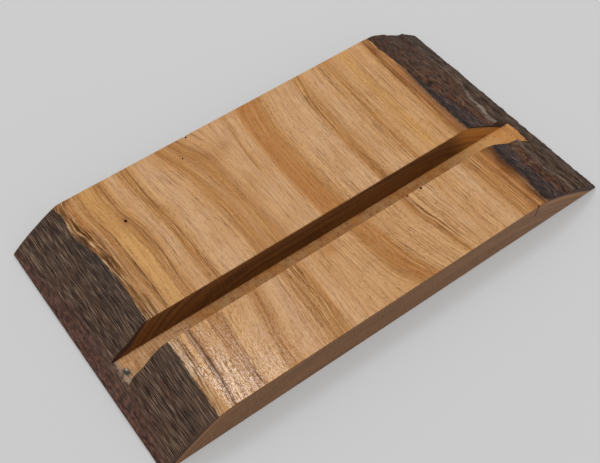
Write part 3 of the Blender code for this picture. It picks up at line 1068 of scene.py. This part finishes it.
def oiledWood():
    made, nodes, (x, y, z) = material("oiled_wood")
    depth = boardTop - z
    color, relief, rough, gloss = planedTop(nodes, x, y, z)
    rings, rays = nodes.grouped("end grain", endGrain, x, y, z)

    # The front and back faces
    sawnTone = nodes.blend(x.step(-20, 120), (0.205, 0.092, 0.032), (0.25, 0.122, 0.053))
    sawnTone.lay(rings * 0.55, (0.085, 0.034, 0.013))
    sawnTone.lay(rays * 0.3, (0.31, 0.155, 0.06))
    # An orange ring under the bark, between dark lines
    under = boardSurface(nodes, x, y) - z
    nearBark = abs(x).step(92, 106)
    ringTone = nodes.blend(x.step(-50, 50), (0.31, 0.13, 0.038), (0.37, 0.175, 0.062))
    sawnTone.lay(under.bell(2.4, 1.4) * nearBark * 0.4, ringTone)
    darkLine = under.bell(0.3, 0.3) + under.bell(4.4, 0.3) * 0.7
    sawnTone.lay((darkLine * nearBark * 0.7).held(), (0.05, 0.018, 0.008))
    sawn = abs(y).step(79.7, 79.95)
    color.lay(sawn, sawnTone)

    # The groove's walls: end grain with painted shade, darkest toward the left, lighter toward the
    # right end
    rightEnd = x.step(86, 104)
    shadedWallTone = nodes.blend(rightEnd, (0.150, 0.049, 0.008), (0.42, 0.155, 0.024))
    shadedWallTone.lay(rings * (0.75 - rightEnd * 0.2), (0.04, 0.012, 0.004))
    shadedWallTone.lay(rays * 0.2, (0.25, 0.09, 0.018))
    onWalls = y.step(*wallSpan[:2]) * (1 - y.step(*wallSpan[2:]))
    belowTop = nodes.most(under.step(0.35, 0.7), abs(x).step(110, 111))
    inGroove = onWalls * belowTop * (1 - sawn)
    color.lay(inGroove, shadedWallTone)

    # The groove's floor
    floorNoise = nodes.noise((x / 9, y / 14, 6), 3, 0.6)
    floorTone = nodes.blend(floorNoise.step(0.38, 0.62), (0.38, 0.19, 0.066), (0.39, 0.16, 0.034))
    floorLines = nodes.noise((x / 0.8, y / 20, 8), 3, 0.6)
    floorTone.lay(floorLines.step(0.48, 0.66) * 0.5, (0.22, 0.088, 0.026))
    mottle = nodes.noise((x / 2.2, y / 3, 3), 3, 0.65)
    floorTone.lay(mottle.step(0.56, 0.72) * 0.6, (0.15, 0.058, 0.02))
    paleEnd = 1 - x.step(-100, -84)
    patches = nodes.noise((x / 3.2, y / 4.2, 14), 3, 0.65)
    floorTone.lay(patches.step(0.5, 0.6) * 0.7, (0.30, 0.10, 0.02))
    paleTone = nodes.blend(floorLines.step(0.4, 0.6), (0.59, 0.34, 0.165), (0.38, 0.183, 0.07))
    floorTone.lay(paleEnd * mottle.step(0.3, 0.5) * 0.9, paleTone)
    crack = nodes.noise((x / 7, y / 5, 21), 2, 0.6).bell(0.5, 0.02) * patches.step(0.42, 0.56)
    floorTone.lay(crack * 0.5, (0.16, 0.06, 0.015))
    # A dark stain near the left end, with a painted highlight in its middle
    ragged = (mottle - 0.5) * 3
    stain = (inPatch(nodes, x + ragged, y, -132.3, *stainPlace) * 1.5).held()
    floorTone.lay(stain, stainTone)
    # The painted highlight in the stain's middle
    floorTone.lay(inPatch(nodes, x, y, -131.9, -26, 0.7, 0.5, 0) * 0.8, (0.45, 0.45, 0.41))
    golden = x.step(80, 112)
    floorTone.lay(golden * (1 - mottle.step(0.52, 0.7) * 0.7), (0.56, 0.29, 0.095))
    floorTone.lay(x.step(110, 126) * floorNoise.step(0.3, 0.6), (0.5, 0.2, 0.045))
    floorDepth = board["grooveDepth"]
    onFloor = (depth.step(floorDepth - 0.5, floorDepth - 0.2)
               * (1 - depth.step(floorDepth + 0.2, floorDepth + 0.5)))
    color.lay(onFloor * (1 - sawn), floorTone)

    dull = (sawn + inGroove + onFloor).held()
    return finish(made, nodes, color, rough + dull * 0.3, nodes.weigh(dull, gloss, 0.25),
                  nodes.weigh(sawn, relief, rings * -0.6), 0.05)


# Nearly black: painted shade inside the hollows, over the pin knots' own dark wood
def paintedShadeHollow():
    made, nodes, (x, y, z) = material("painted_shade_hollow")
    speckle = nodes.noise((x / 0.5, y / 0.5, z / 0.5))
    color = nodes.tones(speckle, [(0.35, (0.012, 0.006, 0.004)), (0.65, (0.05, 0.022, 0.01))])
    return finish(made, nodes, color, 0.8, 0.1, speckle, 0.1)


leftFoot = {
    # Share of the way up that the dark skin reaches, less one
    "darkTo": [(-84, -0.03), (-80, -0.02), (-70, -0.01), (-60, -0.005), (-50, 0.01), (-40, 0.022),
               (-32, 0.025), (-15, -0.03), (-5, -0.025), (5, -0.01), (15, 0), (25, -0.02),
               (35, -0.035), (41, -0.06), (50, -0.125), (60, -0.17), (65, -0.145), (70, -0.125),
               (75, -0.145), (80, -0.18), (84, -0.2)],
    # Share of the way up that the reddish band reaches, from front to rear
    "redShare": [(-84, -0.05), (-70, 0.08), (-54, 0.18), (-30, 0.14), (-7, 0.16), (19, 0.16),
                 (45, 0.06), (66, 0.02), (84, -0.04)],
}


def leftBarkSkin():
    made, nodes, (x, y, z) = material("left_bark_skin")
    share, across = upSlope(nodes, leftEdge, x)
    fibres = barkFibres(nodes, leftEdge, share, y)
    color = nodes.tones(fibres, [(0.05, (0.010, 0.004, 0.003)), (0.4, (0.05, 0.026, 0.015)),
                                 (0.65, (0.11, 0.064, 0.041)), (1, (0.25, 0.165, 0.112))])
    warm = nodes.noise((across / 5, y / 12, 1), 3, 0.6)
    color.lay(warm.step(0.48, 0.66) * 0.35, (0.125, 0.058, 0.029))
    cold = nodes.noise((across / 4, y / 10, 6), 3, 0.6) + share * 0.12
    color.lay(cold.step(0.58, 0.74) * 0.45, (0.022, 0.013, 0.011))
    # Painted shade beside the wood toward the rear, smoky dark
    rearShade = share.step(0.55, 0.9) * y.bell(36, 34) * warm.step(0.35, 0.6)
    color.lay(rearShade * 0.55, (0.024, 0.019, 0.018))
    # A reddish band along the foot, narrow at the rear
    wide = nodes.curve(y, leftFoot["redShare"], 1)
    red = 1 - (share + (warm - 0.5) * 0.4 - wide).step(-0.12, 0.12)
    flecks = nodes.noise((across / 1.8, y / 3.4, 9), 3, 0.6)
    redTone = nodes.tones(flecks, [(0.38, (0.03, 0.013, 0.010)), (0.55, (0.12, 0.045, 0.03)),
                                   (0.72, (0.25, 0.11, 0.072))])
    color.lay(red * 0.7, redTone)
    border = nodes.curve(y, leftFoot["darkTo"], 0.3) + 1
    ragged = nodes.noise((across / 0.8, y / 5, 11), 3, 0.65) - 0.5
    planed = (share + ragged * 0.09 - border).step(-0.01, 0.01)
    shade = (border + 0.05 - share).bell(0, 0.05) * 0.5
    color.lay(shade, (0.012, 0.008, 0.007))
    return planedAway(made, nodes, planed, planedTop(nodes, x, y, z), color,
                      0.42 + fibres * 0.15, 0.2, fibres, 0.2, 0.25)


def rightInnerSkin():
    made, nodes, (x, y, z) = material("right_inner_skin")
    share, across = upSlope(nodes, rightEdge, x)
    bend = nodes.noise((across / 9, y / 15, 4))
    patch = nodes.noise((across / 1.6 + bend * 5, y / 7, 2), 4, 0.62)
    color = nodes.tones(patch, [(0.36, (0.008, 0.004, 0.004)), (0.5, (0.03, 0.015, 0.012)),
                                (0.6, (0.085, 0.045, 0.031)), (0.74, (0.20, 0.12, 0.088))])
    warm = nodes.noise((across / 2 + bend * 3, y / 5, 8), 3, 0.6)
    color.lay(warm.step(0.52, 0.68) * 0.6, (0.13, 0.054, 0.030))
    border = nodes.curve(y, rightInner["darkTo"], 0.3) + 1
    ragged = nodes.noise((across / 1.6, y / 4, 11), 4, 0.65) - 0.5
    planed = (share + ragged * 0.1 - border).step(-0.03, 0.02)
    top = planedTop(nodes, x, y, z)
    halo = (border + 0.02 - share).bell(0, 0.045) * 0.6
    top[0].lay(halo, (0.09, 0.03, 0.008))
    # A painted shadow along the border with the wood, over the bark's own dark skin
    borderShadow = (border - 0.06 - share).bell(0, 0.08) * ragged.step(-0.25, 0.05) * 0.7
    color.lay(borderShadow, (0.012, 0.007, 0.006))
    return planedAway(made, nodes, planed, top, color, 0.36, 0.12, patch, 0.1, 0.5)


def rightOuterSkin():
    made, nodes, (x, y, z) = material("right_outer_skin")
    share, across = upSlope(nodes, rightEdge, x)
    relief = furrows(nodes, share, y)
    # Darker in the furrows: the bark's own colour there, deepened with painted shade
    color = nodes.tones(relief, [(0.15, (0.008, 0.004, 0.003)), (0.4, (0.034, 0.017, 0.010)),
                                 (0.65, (0.10, 0.058, 0.036)), (0.95, (0.25, 0.17, 0.12))])
    # Reddish mottling above the crest, with orange flecks toward the front
    crest = crestShare(nodes, y)
    above = (share - crest).step(0, 0.08)
    bend = nodes.noise((across / 9, y / 15, 4))
    mottle = nodes.noise((across / 1.7 + bend * 5, y / 5, 3), 4, 0.65)
    color.lay(above * mottle.step(0.45, 0.62) * 0.65, (0.125, 0.048, 0.026))
    color.lay((0.5 - mottle).step(0.02, 0.12) * 0.7, (0.018, 0.011, 0.010))
    flecks = nodes.noise((across / 2.2, y / 3.4, 12), 4, 0.65)
    color.lay(above * flecks.step(0.52, 0.66) * (y.bell(-47, 14) * 0.45 + 0.2),
              (0.27, 0.125, 0.06))
    ashen = nodes.noise((across / 2, y / 7, 15), 3, 0.6)
    color.lay(ashen.step(0.56, 0.7) * 0.35, (0.15, 0.105, 0.08))
    olive = nodes.noise((across / 3, y / 5, 19)) * (1 - above)
    color.lay(olive.step(0.5, 0.7) * 0.4, (0.10, 0.062, 0.026))
    # The crest is palest behind the groove, with fine dark arcs below it
    behindGroove = y.bell(-5, 17)
    wideCrest = (share - crest + (mottle - 0.5) * 0.14) / (behindGroove * 0.018 + 0.022)
    onCrest = wideCrest.bell(0.3, 1) * (behindGroove * 0.6 + 0.3) * relief.step(0.15, 0.5)
    color.lay(onCrest * mottle.step(0.3, 0.5), (0.30, 0.225, 0.18))
    below = crest - share + (mottle - 0.5) * 0.05
    arcs = nodes.reckon("SINE", below * 95).step(0.3, 1) * below.step(0.02, 0.05)
    color.lay(arcs * (1 - below.step(0.15, 0.25)) * behindGroove * 0.6, (0.03, 0.017, 0.012))
    color.lay(y.step(35, 70) * 0.35, (0.03, 0.021, 0.018))
    return finish(made, nodes, color, 0.55, 0.06, relief * 0.7 + mottle * 0.3, 0.4)


# Two tones of the bark's section on the groove's floor, and how far out in mm it stays pale
sectionTones = {
    "left": ((0.22, 0.125, 0.075), (0.46, 0.31, 0.20), 135.6),
    "right": ((0.34, 0.13, 0.03), (0.56, 0.26, 0.075), 131.5),
}


def barkSection(side):
    # Where the saw went through the bark: pale on the groove's floor, dark on upright faces
    made, nodes, (x, y, z) = material("bark_section_" + side)
    depth = boardTop - z
    fine = nodes.noise((x / 0.7, y / 14, z / 0.7), 3, 0.6)
    speckle = nodes.noise((x / 2.2, y / 2.6, z / 2), 3, 0.65)
    low, high, end = sectionTones[side]
    level = nodes.tones(fine, [(0.34, low), (0.64, high)])
    sawn = abs(y).step(79.7, 79.9)
    darker = (abs(x) + (speckle - 0.5) * 9).step(end - 1, end + 1)
    level.lay(darker * 0.85, (0.05, 0.025, 0.016))
    level.lay(speckle.step(0.6, 0.7) * 0.7, (0.06, 0.04, 0.026))
    if side == "left":
        stain = (inPatch(nodes, x, y, -132.6, *stainPlace) * 1.5).held()
        level.lay(stain, stainTone)
    upright = nodes.tones(fine, [(0.35, (0.018, 0.008, 0.005)), (0.65, (0.07, 0.028, 0.014))])
    floorDepth = board["grooveDepth"]
    flat = (1 - depth.step(0.2, 0.5)) + depth.step(floorDepth - 0.4, floorDepth - 0.1)
    lowest = depth.step(floorDepth + 0.2, floorDepth + 0.5)
    color = nodes.blend((flat - lowest - sawn).held(), upright, level)
    # The thin rim that the plane cut off is wood to the eye
    rim = 1 - depth.step(0.01, 0.04)
    return planedAway(made, nodes, rim, planedTop(nodes, x, y, z), color, 0.5, 0.2, fine, 0.33,
                      0.15)


def padRubber():
    made, nodes, (x, y, z) = material("pad_rubber")
    grain = nodes.noise((x / 0.4, y / 0.4, z / 0.4), 3, 0.6)
    color = nodes.tones(grain, [(0.3, (0.03, 0.028, 0.026)), (0.7, (0.06, 0.056, 0.052))])
    return finish(made, nodes, color, 0.85, None, grain, 0.05)


# The pads under the corners

pad = {"bevel": 0.25, "sides": 64}


def makePad(node, skin):
    low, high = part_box(node)
    deselect()
    bpy.ops.mesh.primitive_cylinder_add(vertices=pad["sides"], radius=(high.x - low.x) / 2,
                                        depth=high.z - low.z, location=(low + high) / 2)
    piece = named(node + "_rubber")
    settle(piece)
    edit(piece)
    middleZ = (low.z + high.z) / 2
    pick(piece, "EDGE", lambda line: all(abs(point.co.z - middleZ) > 0.4 * (high.z - low.z)
                                         for point in line.verts)
         and abs(line.verts[0].co.z - line.verts[1].co.z) < 0.1 * mm)
    bpy.ops.mesh.bevel(offset=pad["bevel"] * mm, segments=3)
    done(piece)
    smooth(piece, 35)
    piece.data.materials.append(skin)
    return piece


# The set

stage = {
    "size": 6,      # m
    "tones": ((0.36, 0.36, 0.36), (0.37, 0.37, 0.372)),
    "cloud": 900,   # mm
    "glow": 0.66,
}


def makeFloor():
    deselect()
    bpy.ops.mesh.primitive_plane_add(size=stage["size"])
    ground = named("ground")
    made, nodes, (x, y, z) = material("pale_ground")
    tint = nodes.noise((x / stage["cloud"], y / stage["cloud"], 0), 1)
    low, high = stage["tones"]
    color = nodes.tones(tint, [(0.3, low), (0.7, high)])
    inputs = made.node_tree.nodes["Principled BSDF"].inputs
    nodes.join(color, inputs["Base Color"])
    nodes.join(color, inputs["Emission Color"])
    inputs["Emission Strength"].default_value = stage["glow"]
    inputs["Roughness"].default_value = 0.9
    inputs["Specular IOR Level"].default_value = 0.1
    ground.data.materials.append(made)


lamps = {
    "soft": {"place": (217, 640, 1421), "size": (520, 420), "power": 6},   # mm, watts
    "glint": {"place": (140, 605, 1422), "size": (270, 120), "power": 2.1},
    "skyLight": 0.78,
}


def addLamp(name):
    place = Vector(lamps[name]["place"]) * mm
    bpy.ops.object.light_add(type="AREA", location=place)
    light = named(name)
    light.rotation_euler = (-place).to_track_quat("-Z", "Y").to_euler()
    light.data.shape = "RECTANGLE"
    width, height = lamps[name]["size"]
    light.data.size = width * mm
    light.data.size_y = height * mm
    light.data.energy = lamps[name]["power"]
    return light


def makeLights():
    # The soft one makes the shadows, the small one shows as a gloss on the front left corner
    addLamp("soft").visible_glossy = False
    addLamp("glint").visible_diffuse = False
    world = bpy.data.worlds.new("room")
    world.use_nodes = True
    sky = world.node_tree.nodes["Background"].inputs
    sky[0].default_value = (1, 1, 1, 1)
    sky[1].default_value = lamps["skyLight"]
    bpy.context.scene.world = world


camera = {
    "place": (-194.3, -282.4, 450.2),   # mm
    "heading": 33.582,                  # degrees from +Y towards +X
    "down": 53.265,
    "roll": -2.975,
    "lens": 60.38,
    "sensor": 36,
    "sees": (0.01, 20),                 # m
}


def makeCamera():
    bpy.ops.object.camera_add()
    eye = bpy.context.active_object
    turn = (Matrix.Rotation(-radians(camera["heading"]), 4, "Z")
            @ Matrix.Rotation(radians(90 - camera["down"]), 4, "X")
            @ Matrix.Rotation(radians(camera["roll"]), 4, "Z"))
    eye.matrix_world = Matrix.Translation(Vector(camera["place"]) * mm) @ turn
    eye.data.lens = camera["lens"]
    eye.data.sensor_width = camera["sensor"]
    eye.data.clip_start, eye.data.clip_end = camera["sees"]
    bpy.context.scene.camera = eye


# Making it all

def standsFor(piece, node):
    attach(piece, "root")
    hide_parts(node)


makeCamera()
makeLights()
makeFloor()
print("set ready")

slab = makeSlab()
standsFor(slab, "slab")
print("slab ready:", len(slab.data.polygons), "faces")

blank = groovedBlank("saw_cuts")
blank.data.materials.clear()
blank.data.materials.append(barkSection("left"))
leftPiece = makeLeftBark(blank)
standsFor(leftPiece, "inner_bark_left")
print("left bark ready:", len(leftPiece.data.polygons), "faces")
blank.data.materials[0] = barkSection("right")
rightPiece = makeRightInner(blank)
standsFor(rightPiece, "inner_bark_right")
print("right inner bark ready:", len(rightPiece.data.polygons), "faces")
outerPiece = makeRightOuter(blank)
standsFor(outerPiece, "outer_bark_right")
print("right outer bark ready:", len(outerPiece.data.polygons), "faces")
bpy.data.objects.remove(blank, do_unlink=True)

rubber = padRubber()
for padNode in ("pad_front_left", "pad_front_right", "pad_rear_left", "pad_rear_right"):
    standsFor(makePad(padNode, rubber), padNode)
print("pads ready")

bpy.context.scene.view_settings.view_transform = "Standard"
